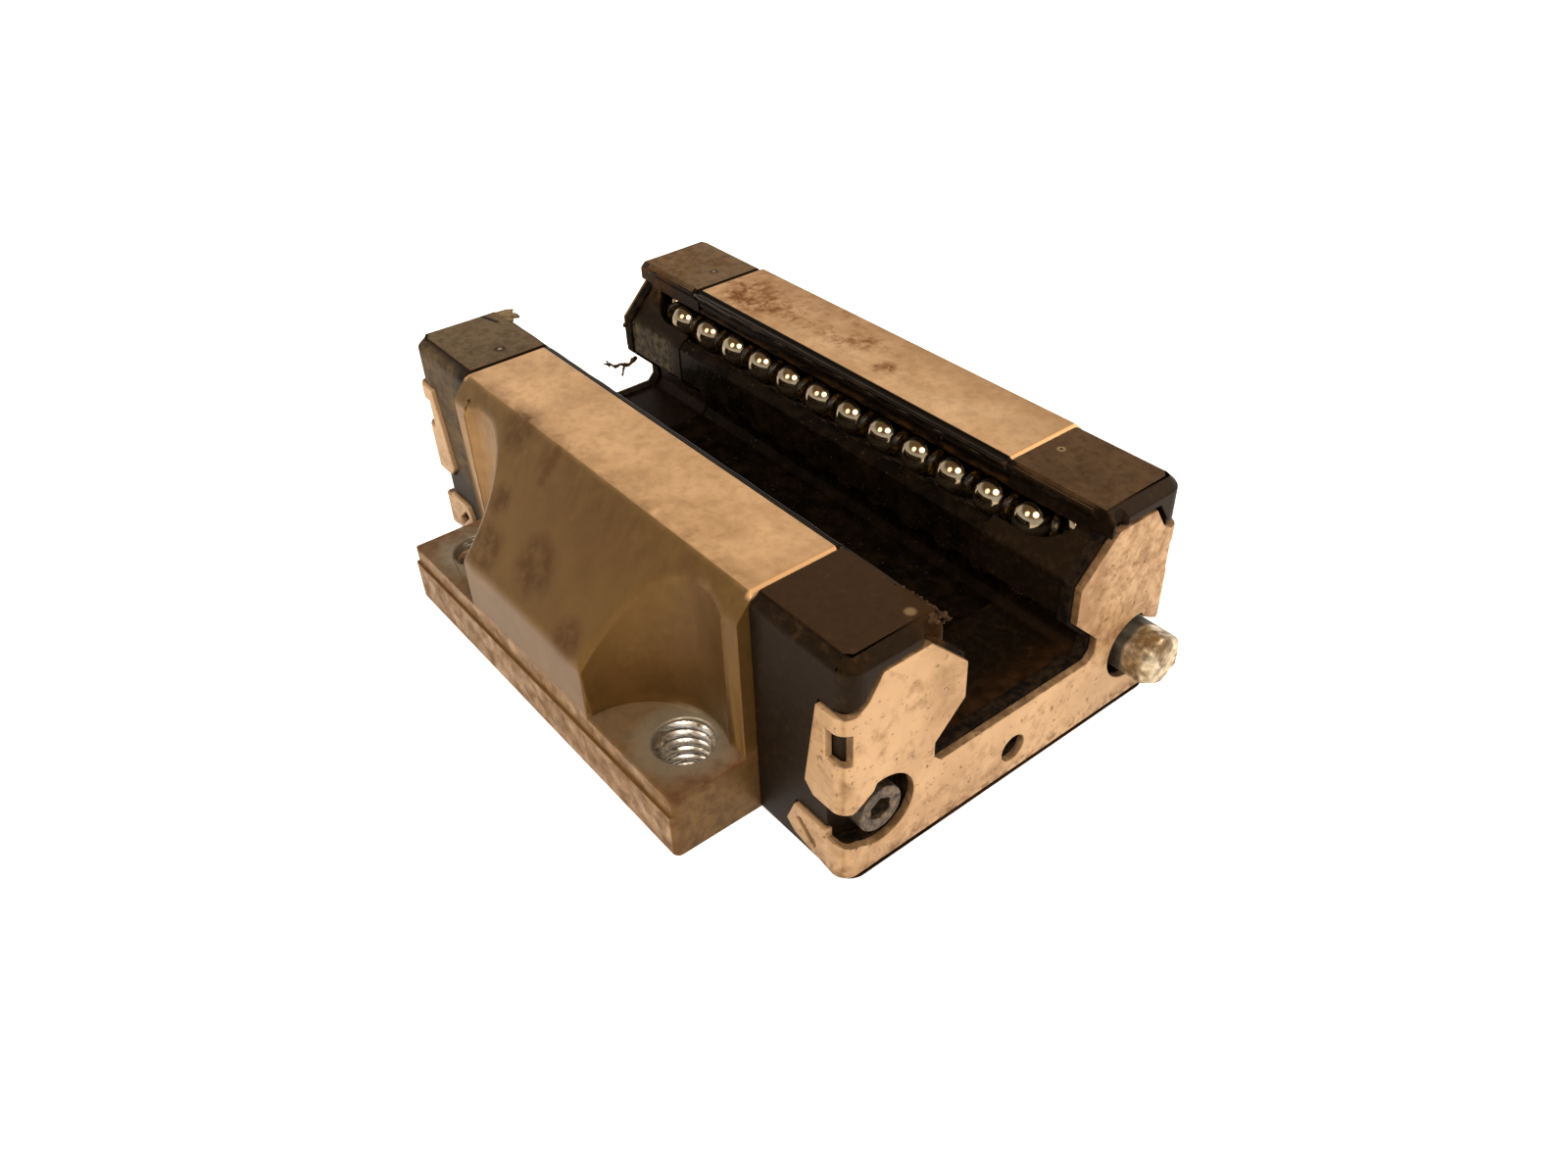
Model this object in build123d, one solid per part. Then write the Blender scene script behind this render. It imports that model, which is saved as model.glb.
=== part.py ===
from build123d import *
from itertools import product
from math import degrees, pi, sin, cos, sqrt
import os

# Linear guide carriage, flanged type, for a rail 23 mm wide.
# It lies on its mounting face with the rail channel open upwards.
# X runs along the rail, Y across it, Z up. The origin is the centre of the mounting face.
# "Tip" pieces are near the leg tips, "deck" pieces near the mounting face.
# "Front" is the +X end and "right" is the leg on the +Y side. All sizes are in millimetres.

# Steel block
WIDTH = 70.0  # across the flanges
BODY_LENGTH = 57.8  # along the rail
HEIGHT = 29.2  # mounting face to leg tips
EDGE_CHAMFER = 0.6
REFERENCE_HEIGHT = 6.2  # ground side face above the mounting face
REFERENCE_STEP = 0.4  # rough side set back from the ground one
LAND_HEIGHT = 15.5  # where the flange side turns into the slope
LEG_OUTER = 22.9  # half width over the leg tips
LEG_INNER = 12.3  # half width between the leg tips
TIP_LIP = 1.8  # steel lip over the tip guide

# Screw pockets and tapped holes in the flanges
HOLE_SPACING_X = 45.0
HOLE_SPACING_Y = 57.0
TAP_RADIUS = 3.4  # M8 core hole
FLANGE_THICKNESS = 8.4  # under the screw heads
POCKET_RADIUS = 9.5
POCKET_SETOUT = 5.5  # pocket axis outside the tapped hole
RELIEF_HALF = 25.3  # half width of the block beside the end caps
RELIEF_LENGTH = 2.4

# Rail space and ball rows
RAIL_HALF = 11.5
RAIL_WAIST = 7.6
RAIL_HEAD_DROP = 8.6  # rail head under the middle between the rows
RAIL_CORNER = 1.0
BALL_RADIUS = 2.38
BALL_Y = 12.4  # loaded row from the middle plane
ROW_DEPTH = 10.0  # middle between the rows, under the leg tips
ROW_OFFSET = 4.0  # each row from the middle
BALL_PITCH = 5.9
TURN_RADIUS = 4.05
TURN_SETOUT = 4.56  # centre of a ball turn beyond the block
GROOVE_GAP = 0.07  # raceway groove over the ball radius
TUNNEL_GAP = 0.14  # ball tunnel over the ball radius

# Spacers and raceway inserts
SPACER_RADIUS = 1.75
SPACER_THICKNESS = 0.8
SPACER_SIDES = 4
INSERT_FRONT = 11.3  # nose of the insert
INSERT_BACK = 16.6
INSERT_HALF_HEIGHT = 5.1

# Plastic guide strips
GUIDE_BACK = 15.8
GUIDE_RAIL_GAP = 0.6
MIDDLE_GUIDE_HALF_HEIGHT = 3.3
FLOOR_GUIDE_THICKNESS = 0.6
GROOVE_WIDTH = 0.5  # dust groove along the tip guides
GROOVE_DEPTH = 0.35
GROOVE_DROP = 0.7  # groove below the steel lip

# End caps
END_LENGTH = 14.2  # cap, seal and plate together
CAP_HALF = 23.7
CAP_BOTTOM = 0.4
CAP_TOP_CHAMFER = 1.2
CAP_CORNER = 2.2
CAP_RAIL_GAP = 0.5
NOTCH_RADIUS = 1.0
NOTCH_SIDES = 8
NOTCH_Y = 13.4
NOTCH_DEPTH = 2.3

# End seals
SEAL_THICKNESS = 1.4
SEAL_RAIL_GAP = 0.15
SEAL_PROUD = 0.35  # seal edge beyond the plate's edge
SEAL_GAP = 0.1

# End plates of bent sheet steel
SHEET = 1.0
PLATE_RAIL_GAP = 0.6
PLATE_BOTTOM = 0.9
PLATE_TOP_DROP = 2.6  # top edge of the plate under the leg tips
PLATE_TOP_INNER = 13.3  # half widths of the lobe's top edge
PLATE_TOP_OUTER = 19.3
PLATE_SHOULDER = 21.0
SHOULDER_DROP = 2.7
PLATE_BEND = 1.8
TAB_PROUD = 0.5  # side tabs outside the cap
UPPER_TAB_LENGTH = 5.9
UPPER_TAB_SLANT = 1.9
UPPER_TAB_DROP = 3.7  # top of the upper tab under the plate's top edge
LOWER_TAB_LENGTH = 9.0
LOWER_TAB_TOP = 6.4
LOWER_TAB_RISE = 1.2  # rear foot of the lower tab over the plate's bottom edge
TAB_CORNER = 1.3
TAB_SLOT_LENGTH = 3.6
TAB_SLOT_WIDTH = 1.1
TAB_SLOT_CORNER = 0.3
TAB_SLOT_TILT = -42.0
WINDOW_LENGTH = 2.7
WINDOW_DROP = 2.1  # under the top of the upper tab
WINDOW_HEIGHT = 4.0
WINDOW_DEPTH = 1.3
PLATE_GAP = 0.2  # gap round the plate in the cap

# Screws and lubrication port
SCREW_Y = 19.15
SCREW_RAISE = 0.5  # screw above the middle between the cap's underside and the deck row
SCREW_RADIUS = 1.5
SCREW_GAP = 0.05
SCREW_DEPTH = 7.5  # thread in the block
SCREW_HEAD_RADIUS = 2.75
SCREW_HEAD_LENGTH = 2.8
SCREW_SOCKET = 2.5  # across flats
SOCKET_DEPTH = 1.6
RECESS_RADIUS = 4.3
RECESS_DEPTH = 3.0
SLOT_LOW = 2.7  # recess mouth on the cap's side, below and above the screw
SLOT_HIGH = 1.9
LOBE_POINTS = [(0.6, 4.4), (1.1, 3.4), (2.4, 2.6), (3.7, 1.9)]  # rounded end of the plate's lobe
HEX_FLATS = 6.0
HEX_REACH = 4.4  # hexagon beyond the end plate
HEX_CHAMFER = 0.7
FLANGE_RADIUS = 3.3  # flange under the hexagon
FLANGE_HEIGHT = 1.0
PORT_RADIUS = 1.5
PORT_Z = 4.3
PORT_DEPTH = 9.0
PORT_RING = 0.2  # plate hole over the port

body_end = BODY_LENGTH / 2
cap_end = body_end + END_LENGTH
plate_back = cap_end - SHEET
seal_back = plate_back - SEAL_THICKNESS
recess_floor = cap_end - RECESS_DEPTH
tab_outer = CAP_HALF + TAB_PROUD
row_middle_z = HEIGHT - ROW_DEPTH
tip_row_z = row_middle_z + ROW_OFFSET
deck_row_z = row_middle_z - ROW_OFFSET
rail_head_z = row_middle_z - RAIL_HEAD_DROP
return_y = BALL_Y + 2 * TURN_RADIUS
turn_y = BALL_Y + TURN_RADIUS
tunnel_radius = BALL_RADIUS + TUNNEL_GAP
groove_radius = BALL_RADIUS + GROOVE_GAP
run_half = body_end + TURN_SETOUT
turn_length = pi * TURN_RADIUS
loop_length = 4 * run_half + 2 * turn_length
balls_per_loop = round(loop_length / BALL_PITCH)
pitch = loop_length / balls_per_loop
guide_end = run_half  # the guides meet the ball turns in the caps
insert_top = row_middle_z + INSERT_HALF_HEIGHT
insert_bottom = row_middle_z - INSERT_HALF_HEIGHT
guide_top = HEIGHT - TIP_LIP
floor_z = rail_head_z - GUIDE_RAIL_GAP - FLOOR_GUIDE_THICKNESS
plate_top = HEIGHT - PLATE_TOP_DROP
upper_tab_top = plate_top - UPPER_TAB_DROP
screw_z = (CAP_BOTTOM + deck_row_z) / 2 + SCREW_RAISE
upper_tab_bottom = screw_z + SLOT_HIGH
far = 2 * WIDTH  # longer than anything, for cuts that run right through


def across(half):
    """A closed outline in Y and Z from its right half and the mirror image."""
    return Polygon(*half, *[(-y, z) for y, z in reversed(half)], align=None)


def strip(y, z):
    """A rectangle in Y and Z from two (low, high) pairs."""
    return Pos(sum(y) / 2, sum(z) / 2) * Rectangle(y[1] - y[0], z[1] - z[0])


def along(outline, start, end):
    """Extrude an outline in Y and Z along the rail."""
    return extrude(Plane.YZ.offset(start) * outline, amount=end - start)


def rod(radius, y, z, start, end):
    """A round bar along the rail."""
    return along(Pos(y, z) * Circle(radius), start, end)


def left_and_right(shape):
    """A right-hand shape fused with its mirror image on the left."""
    return shape + shape.mirror(Plane.XZ)


def flank_z(y, gap):
    """Height of the tip-side flank of the rail at a half width, moved out by a gap."""
    return y - BALL_Y + tip_row_z + sqrt(2) * (BALL_RADIUS - gap)


def rail_space(gap):
    """Outline of the rail grown by a gap: its head, the waist between the ball rows, its foot."""
    half, waist, head = RAIL_HALF + gap, RAIL_WAIST + gap, rail_head_z - gap
    foot_z, waist_z = flank_z(half, gap), flank_z(waist, gap)
    return across([
        (half - RAIL_CORNER, head),
        (half, head + RAIL_CORNER),
        (half, 2 * row_middle_z - foot_z),
        (waist, 2 * row_middle_z - waist_z),
        (waist, waist_z),
        (half, foot_z),
        (half, far),
    ])


def row_tunnels(radius, start, end):
    """Round tunnels of both loaded rows in the right leg."""
    return rod(radius, BALL_Y, tip_row_z, start, end) + rod(radius, BALL_Y, deck_row_z, start, end)


def steel_outline():
    """Section of the block, with seats for the inserts and guides."""
    half = WIDTH / 2
    rough = half - REFERENCE_STEP
    return across([
        (half - EDGE_CHAMFER, 0),
        (half, EDGE_CHAMFER),
        (half, REFERENCE_HEIGHT),
        (rough, REFERENCE_HEIGHT),
        (rough, LAND_HEIGHT),
        (LEG_OUTER, HEIGHT),
        (LEG_INNER, HEIGHT),
        (LEG_INNER, guide_top),
        (GUIDE_BACK, guide_top),
        (GUIDE_BACK, insert_top),
        (INSERT_BACK, insert_top),
        (INSERT_BACK, insert_bottom),
        (GUIDE_BACK, insert_bottom),
        (GUIDE_BACK, floor_z),
    ])


def screw_pocket():
    """Round pocket with its tapped hole at the front right, and the relief beside the cap."""
    hole_x, hole_y = HOLE_SPACING_X / 2, HOLE_SPACING_Y / 2
    bottom = (Align.CENTER, Align.CENTER, Align.MIN)
    pocket = Pos(hole_x, hole_y + POCKET_SETOUT, FLANGE_THICKNESS) * Cylinder(POCKET_RADIUS, far, align=bottom)
    tap = Pos(hole_x, hole_y, 0) * Cylinder(TAP_RADIUS, FLANGE_THICKNESS, align=bottom)
    relief = Pos(body_end - RELIEF_LENGTH, RELIEF_HALF, FLANGE_THICKNESS) * Box(far, far, far, align=Align.MIN)
    return pocket + relief, tap


def carriage_body():
    """Steel block: deck, flanges and legs."""
    body = along(steel_outline(), -body_end, body_end)
    tip_edges = body.edges().group_by(Axis.Z)[-1].filter_by(Axis.Y)
    body = chamfer(tip_edges, EDGE_CHAMFER)
    pocket, hole = screw_pocket()
    for cut in (pocket, hole):
        both = left_and_right(cut)
        body -= both
        body -= both.mirror(Plane.YZ)
    for row_z in (tip_row_z, deck_row_z):
        body -= left_and_right(rod(tunnel_radius, return_y, row_z, -body_end, body_end))
    for end in (-1, 1):
        depth = sorted((end * (body_end - SCREW_DEPTH), end * body_end))
        body -= left_and_right(rod(SCREW_RADIUS, SCREW_Y, screw_z, *depth))
    return body


def raceway_insert():
    """Hardened insert of the right leg, with a groove for each ball row and a nose between them."""
    outline = strip((BALL_Y + groove_radius, INSERT_BACK), (insert_bottom, insert_top))
    outline += strip((BALL_Y, INSERT_BACK), (deck_row_z, tip_row_z))
    outline += strip((INSERT_FRONT, INSERT_BACK), (deck_row_z + groove_radius, tip_row_z - groove_radius))
    return along(outline, -body_end, body_end) - row_tunnels(groove_radius, -far, far)


def tip_guide_outline():
    return strip((RAIL_HALF + GUIDE_RAIL_GAP, GUIDE_BACK), (insert_top, guide_top))


def middle_guide_outline():
    height = (row_middle_z - MIDDLE_GUIDE_HALF_HEIGHT, row_middle_z + MIDDLE_GUIDE_HALF_HEIGHT)
    return strip((0, INSERT_FRONT), height) - rail_space(GUIDE_RAIL_GAP)


def floor_guide_outline():
    return strip((-GUIDE_BACK, GUIDE_BACK), (floor_z, insert_bottom)) - rail_space(GUIDE_RAIL_GAP)


def tip_guide():
    """Strip under the steel lip of the right leg, with a dust groove along its face."""
    guide = along(tip_guide_outline(), -guide_end, guide_end) - row_tunnels(tunnel_radius, -far, far)
    face = RAIL_HALF + GUIDE_RAIL_GAP
    top = guide_top - GROOVE_DROP
    return guide - along(strip((face, face + GROOVE_DEPTH), (top - GROOVE_WIDTH, top)), -far, far)


def middle_guide():
    """Nose between the two ball rows of the right leg."""
    return along(middle_guide_outline(), -guide_end, guide_end) - row_tunnels(tunnel_radius, -far, far)


def floor_guide():
    """Lining of the channel floor with a ball retainer along each side."""
    guide = along(floor_guide_outline(), -guide_end, guide_end)
    return guide - left_and_right(row_tunnels(tunnel_radius, -far, far))


def plan(front, half, corner):
    """A plate outline seen from above, with rounded front corners."""
    outline = Pos(front / 2, 0) * Rectangle(front, 2 * half)
    return fillet(outline.vertices().group_by(Axis.X)[-1], corner)


def end_outline(grow):
    """Front view of the end plate, open to its sides where the tabs bend back."""
    shoulder_z = plate_top - SHOULDER_DROP
    return across([
        (far, PLATE_BOTTOM - grow),
        (far, upper_tab_top + grow),
        (tab_outer - PLATE_BEND + grow, upper_tab_top + grow),
        (PLATE_SHOULDER + grow, shoulder_z + grow),
        (PLATE_TOP_OUTER + grow, plate_top + grow),
        (PLATE_TOP_INNER - grow, plate_top + grow),
        (RAIL_WAIST / 2, plate_top - PLATE_TOP_INNER + RAIL_WAIST / 2 + 2 * grow),
    ])


def tab_outline(grow):
    """Side view of the end plate: the front sheet and its two tabs."""
    upper_rear = cap_end - UPPER_TAB_LENGTH
    lower_rear = cap_end - LOWER_TAB_LENGTH
    upper = Polygon(
        (far, upper_tab_top),
        (upper_rear + UPPER_TAB_SLANT, upper_tab_top),
        (upper_rear, upper_tab_bottom + TAB_CORNER),
        (upper_rear + TAB_CORNER, upper_tab_bottom),
        (far, upper_tab_bottom),
        align=None,
    )
    lower = Polygon(
        (far, LOWER_TAB_TOP),
        (lower_rear + TAB_CORNER, LOWER_TAB_TOP),
        (lower_rear, PLATE_BOTTOM + 2 * LOWER_TAB_RISE),
        (lower_rear + TAB_CORNER, PLATE_BOTTOM + LOWER_TAB_RISE),
        (cap_end - PLATE_BEND, PLATE_BOTTOM),
        (far, PLATE_BOTTOM),
        align=None,
    )
    tabs = upper + lower
    if grow > 0:
        tabs = offset(tabs, grow, kind=Kind.INTERSECTION)
    return tabs + Pos(cap_end - PLATE_BEND, -far) * Rectangle(far, 2 * far, align=Align.MIN)


def screw_opening():
    """Recess round the right-hand screw, open to the side under the plate's lobe."""
    mouth = Polygon(
        (0, -RECESS_RADIUS),
        (tab_outer - SCREW_Y, -SLOT_LOW),
        (far, -SLOT_LOW),
        (far, SLOT_HIGH),
        (0, SLOT_HIGH),
        align=None,
    )
    lobe = Polygon(*LOBE_POINTS, (far, SLOT_HIGH), (far, far), (LOBE_POINTS[0][0], far), align=None)
    return Pos(SCREW_Y, screw_z) * (Circle(RECESS_RADIUS) + mouth - lobe)


def end_plate():
    """Front end plate, bent from one sheet, with an upper and a lower tab on each side."""
    sheet = plan(cap_end, tab_outer, PLATE_BEND) - plan(plate_back, tab_outer - SHEET, PLATE_BEND - SHEET)
    plate = extrude(sheet, amount=far)
    plate &= along(end_outline(0) - rail_space(PLATE_RAIL_GAP), 0, far)
    plate &= extrude(Plane.XZ * tab_outline(0), amount=far, both=True)
    plate -= left_and_right(along(screw_opening(), plate_back - PLATE_BEND, far))
    window_z = upper_tab_top - WINDOW_DROP - WINDOW_HEIGHT
    window = Pos(cap_end - WINDOW_LENGTH, tab_outer - WINDOW_DEPTH, window_z) * Box(
        far, far, WINDOW_HEIGHT, align=Align.MIN
    )
    slot_x = cap_end - LOWER_TAB_LENGTH + 2 * TAB_CORNER + TAB_SLOT_WIDTH / 2
    slot_z = (PLATE_BOTTOM + LOWER_TAB_TOP) / 2
    slot = Rectangle(TAB_SLOT_LENGTH, TAB_SLOT_WIDTH)
    slot = chamfer(slot.vertices(), TAB_SLOT_CORNER)
    slot = Plane.XZ * Pos(slot_x, slot_z) * Rot(0, 0, TAB_SLOT_TILT) * slot
    plate -= left_and_right(window)
    plate -= extrude(slot, amount=far, both=True)
    return plate - rod(PORT_RADIUS + PORT_RING, 0, PORT_Z, 0, far)


def end_seal():
    """Front end seal, held between the plate and the cap, with its lip close to the rail."""
    edge = tab_outer - PLATE_BEND
    outline = end_outline(SEAL_PROUD) & strip((-edge, edge), (0, far))
    seal = along(outline - rail_space(SEAL_RAIL_GAP), seal_back, plate_back)
    clear = strip((SCREW_Y - RECESS_RADIUS, far), (screw_z - RECESS_RADIUS, screw_z + RECESS_RADIUS))
    seal -= left_and_right(along(clear, seal_back, plate_back))
    return seal - rod(PORT_RADIUS, 0, PORT_Z, seal_back, plate_back)


def turn_block(radius, row_z):
    """Block from the steel to a half-round end about a ball turn's centre, as high as the tunnel."""
    middle = (Align.MIN, Align.CENTER)
    outline = Circle(radius) & Rectangle(far, far, align=middle)
    outline += Pos(-TURN_SETOUT, 0) * Rectangle(TURN_SETOUT, 2 * radius, align=middle)
    return Pos(run_half, turn_y, row_z) * extrude(outline, amount=tunnel_radius, both=True)


def return_core(row_z):
    """Core that the balls turn round, cut away where the guides end beside it."""
    core = turn_block(TURN_RADIUS - tunnel_radius, row_z)
    return core - along(tip_guide_outline() + floor_guide_outline(), 0, far)


def end_cap():
    """Front end cap: moulded block with ball turns, seats for the guides, and screw recesses."""
    cap = Pos(0, 0, CAP_BOTTOM) * extrude(plan(cap_end, CAP_HALF, CAP_CORNER), amount=HEIGHT - CAP_BOTTOM)
    cap = chamfer(cap.edges().group_by(Axis.Z)[-1].sort_by(Axis.X)[1:], CAP_TOP_CHAMFER)
    cap -= Pos(body_end, 0, 0) * Box(far, far, far, align=(Align.MAX, Align.CENTER, Align.CENTER))
    cap -= along(rail_space(CAP_RAIL_GAP), 0, far)
    # Space in front of and beside the cap for the plate, and behind the plate for the seal
    around = Box(far, far, far) - extrude(plan(plate_back, tab_outer - SHEET, PLATE_BEND - SHEET), amount=far)
    around &= along(end_outline(SEAL_PROUD + SEAL_GAP), 0, far)
    around &= extrude(Plane.XZ * tab_outline(PLATE_GAP), amount=far, both=True)
    cap -= around
    edge = tab_outer - PLATE_BEND
    cap -= along(end_outline(SEAL_PROUD + SEAL_GAP) & strip((-edge, edge), (0, far)), seal_back, far)
    # Screw recesses, seats for the guides and ball turns in the right half, then in the left
    cuts = [along(screw_opening(), recess_floor, far)]
    cuts.append(rod(SCREW_RADIUS + SCREW_GAP, SCREW_Y, screw_z, 0, far))
    cuts.append(along(tip_guide_outline(), 0, guide_end))
    cuts.append(along(middle_guide_outline(), 0, guide_end))
    for row_z in (tip_row_z, deck_row_z):
        cuts.append(turn_block(TURN_RADIUS + tunnel_radius, row_z))
    notch = Pos(cap_end, NOTCH_Y, HEIGHT) * RegularPolygon(NOTCH_RADIUS, NOTCH_SIDES)
    cuts.append(extrude(notch, amount=NOTCH_DEPTH, both=True))
    for cut in cuts:
        cap -= cut
        cap -= cut.mirror(Plane.XZ)
    cap -= along(floor_guide_outline(), 0, guide_end)
    return cap - rod(PORT_RADIUS, 0, PORT_Z, cap_end - PORT_DEPTH, far)


def hexagon(flats):
    """A hexagon with one corner up, from its size across flats."""
    return Rot(0, 0, 90) * RegularPolygon(flats / 2, 6, major_radius=False)


def screw_shank():
    """Threaded shank from the recess floor into the block."""
    start = body_end - SCREW_DEPTH + SCREW_GAP
    return rod(SCREW_RADIUS - SCREW_GAP, SCREW_Y, screw_z, start, recess_floor)


def cap_screw():
    """Socket-head screw of the front right corner."""
    head_end = recess_floor + SCREW_HEAD_LENGTH
    screw = screw_shank() + rod(SCREW_HEAD_RADIUS, SCREW_Y, screw_z, recess_floor, head_end)
    return screw - along(Pos(SCREW_Y, screw_z) * hexagon(SCREW_SOCKET), head_end - SOCKET_DEPTH, head_end)


def hex_flange_screw():
    """Long hexagon on a round flange, in the front right corner."""
    hex_start = recess_floor + FLANGE_HEIGHT
    hex_end = cap_end + HEX_REACH
    head = along(Pos(SCREW_Y, screw_z) * hexagon(HEX_FLATS), hex_start, hex_end)
    head = chamfer(head.edges().group_by(Axis.X)[-1], HEX_CHAMFER)
    flange = rod(FLANGE_RADIUS, SCREW_Y, screw_z, recess_floor, hex_start)
    return screw_shank() + flange + head


def on_loop(distance, row_z):
    """Place on a right-hand ball loop at a distance from the middle of the loaded row."""
    distance = distance % loop_length
    side = 1
    if distance > loop_length / 2:
        distance, side = loop_length - distance, -1
    if distance <= run_half:
        x, angle = distance, 0
    elif distance < run_half + turn_length:
        angle = (distance - run_half) / TURN_RADIUS
        x = run_half + TURN_RADIUS * sin(angle)
    else:
        x, angle = 2 * run_half + turn_length - distance, pi
    y = turn_y - TURN_RADIUS * cos(angle)
    return Pos(side * x, y, row_z) * Rot(0, 0, side * degrees(angle))


def ball():
    """Ball as a solid with twelve corners on the true radius."""
    golden = (1 + sqrt(5)) / 2
    scale = BALL_RADIUS / sqrt(1 + golden**2)
    corners = []
    for short, long in product((-scale, scale), (-golden * scale, golden * scale)):
        corners += [(0, short, long), (short, long, 0), (long, 0, short)]
    return ConvexPolyhedron(corners)


def spacer():
    """Thin disc between two balls."""
    outline = RegularPolygon(SPACER_RADIUS, SPACER_SIDES)
    return along(outline, -SPACER_THICKNESS / 2, SPACER_THICKNESS / 2)


def round_loop(piece, row_z, start):
    """Copies of a piece all round a ball loop, one for each pitch."""
    spots = [on_loop(start + count * pitch, row_z) for count in range(balls_per_loop)]
    return [spot * piece for spot in spots]


def save(name, solids, mirrors=()):
    """Write a node from a list of solids, after mirroring them."""
    for plane in mirrors:
        solids = [solid.mirror(plane) for solid in solids]
    shape = solids[0] if len(solids) == 1 else Compound(children=solids)
    export_step(shape, f"parts/{name}.step")


os.makedirs("parts", exist_ok=True)
save("carriage_body", [carriage_body()])
save("floor_guide", [floor_guide()])
sided = {
    "raceway_insert": [raceway_insert()],
    "tip_guide": [tip_guide()],
    "middle_guide": [middle_guide()],
}
for row, row_z in (("tip", tip_row_z), ("deck", deck_row_z)):
    sided[f"balls_{row}"] = round_loop(ball(), row_z, pitch / 2)
    sided[f"spacers_{row}"] = round_loop(spacer(), row_z, 0)
for name, solids in sided.items():
    save(f"{name}_right", solids)
    save(f"{name}_left", solids, [Plane.XZ])
cores = [return_core(row_z) for row_z in (tip_row_z, deck_row_z)]
ends = {
    "end_cap": [end_cap()],
    "end_seal": [end_seal()],
    "end_plate": [end_plate()],
    "return_cores": cores + [core.mirror(Plane.XZ) for core in cores],
}
for name, solids in ends.items():
    save(f"{name}_front", solids)
    save(f"{name}_rear", solids, [Plane.YZ])
screw = cap_screw()
save("cap_screw_front", [screw], [Plane.XZ])
save("cap_screws_rear", [screw, screw.mirror(Plane.XZ)], [Plane.YZ])
save("hex_flange_screw", [hex_flange_screw()])
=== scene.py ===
import random
from math import cos, pi, radians, sin

import bmesh
import bpy
from mathutils import Matrix, Vector

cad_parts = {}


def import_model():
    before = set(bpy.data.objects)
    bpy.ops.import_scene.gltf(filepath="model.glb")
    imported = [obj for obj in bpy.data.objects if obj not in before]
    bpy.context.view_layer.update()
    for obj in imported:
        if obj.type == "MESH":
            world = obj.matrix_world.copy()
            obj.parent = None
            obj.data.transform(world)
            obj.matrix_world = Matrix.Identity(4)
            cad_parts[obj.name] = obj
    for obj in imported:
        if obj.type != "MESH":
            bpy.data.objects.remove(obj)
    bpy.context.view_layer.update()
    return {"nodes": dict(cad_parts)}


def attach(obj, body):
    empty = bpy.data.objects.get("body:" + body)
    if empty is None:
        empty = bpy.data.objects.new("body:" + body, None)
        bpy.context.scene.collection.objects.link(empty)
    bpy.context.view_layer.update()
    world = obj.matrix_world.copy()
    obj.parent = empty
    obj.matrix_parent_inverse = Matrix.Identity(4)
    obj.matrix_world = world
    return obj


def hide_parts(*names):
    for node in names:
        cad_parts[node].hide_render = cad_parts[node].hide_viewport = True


# Worn linear guide carriage, seen from above its front left corner with the rail channel open upwards.
# Lengths are in metres, and MM turns millimetres into metres.
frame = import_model()

MM = 0.001
random.seed(23)

# Sizes shared by several pieces, the same as the model's
FLANGE_TOP = 8.4 * MM
REFERENCE_TOP = 6.2 * MM
CAP_TOP = 29.2 * MM
CAP_NOTCH = (43.1 * MM, 13.4 * MM)
TAP_RADIUS = 3.4 * MM
TAP_SPACING = (45.0 * MM, 57.0 * MM)
BALL_RADIUS = 2.38 * MM
SHARP_ANGLE = radians(24)

# The CAD meshes: corners this near are one, and faces that turn less than this are one flat face
WELD_DISTANCE = 0.004 * MM
FLAT_ANGLE = radians(0.6)


# Materials

def colour(sheet):
    """An sRGB hex value as a linear colour."""
    channels = [int(sheet[i:i + 2], 16) / 255 for i in (1, 3, 5)]
    linear = [c / 12.92 if c <= 0.04045 else ((c + 0.055) / 1.055) ** 2.4 for c in channels]
    return (*linear, 1.0)


def add(tree, kind, inputs, **settings):
    """Add a shader node. An input is a value, or a socket to link it to."""
    node = tree.nodes.new("ShaderNode" + kind)
    for name, value in settings.items():
        setattr(node, name, value)
    for name, value in inputs.items():
        if isinstance(value, bpy.types.NodeSocket):
            tree.links.new(value, node.inputs[name])
        else:
            node.inputs[name].default_value = value
    return node


# Sockets of the colour form of Blender's Mix node
MIX_FACTOR, MIX_UNDER, MIX_OVER, MIX_RESULT = 0, 6, 7, 2

# Noise values at which a layer starts to show with cover 0 and with cover 1
NOISE_NONE, NOISE_ALL = 0.72, 0.28

# Shifts in metres that keep one layer's noise, and one grain's, from repeating another's
LAYER_SHIFT, GRAIN_SHIFT = 0.37, 3.1


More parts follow.
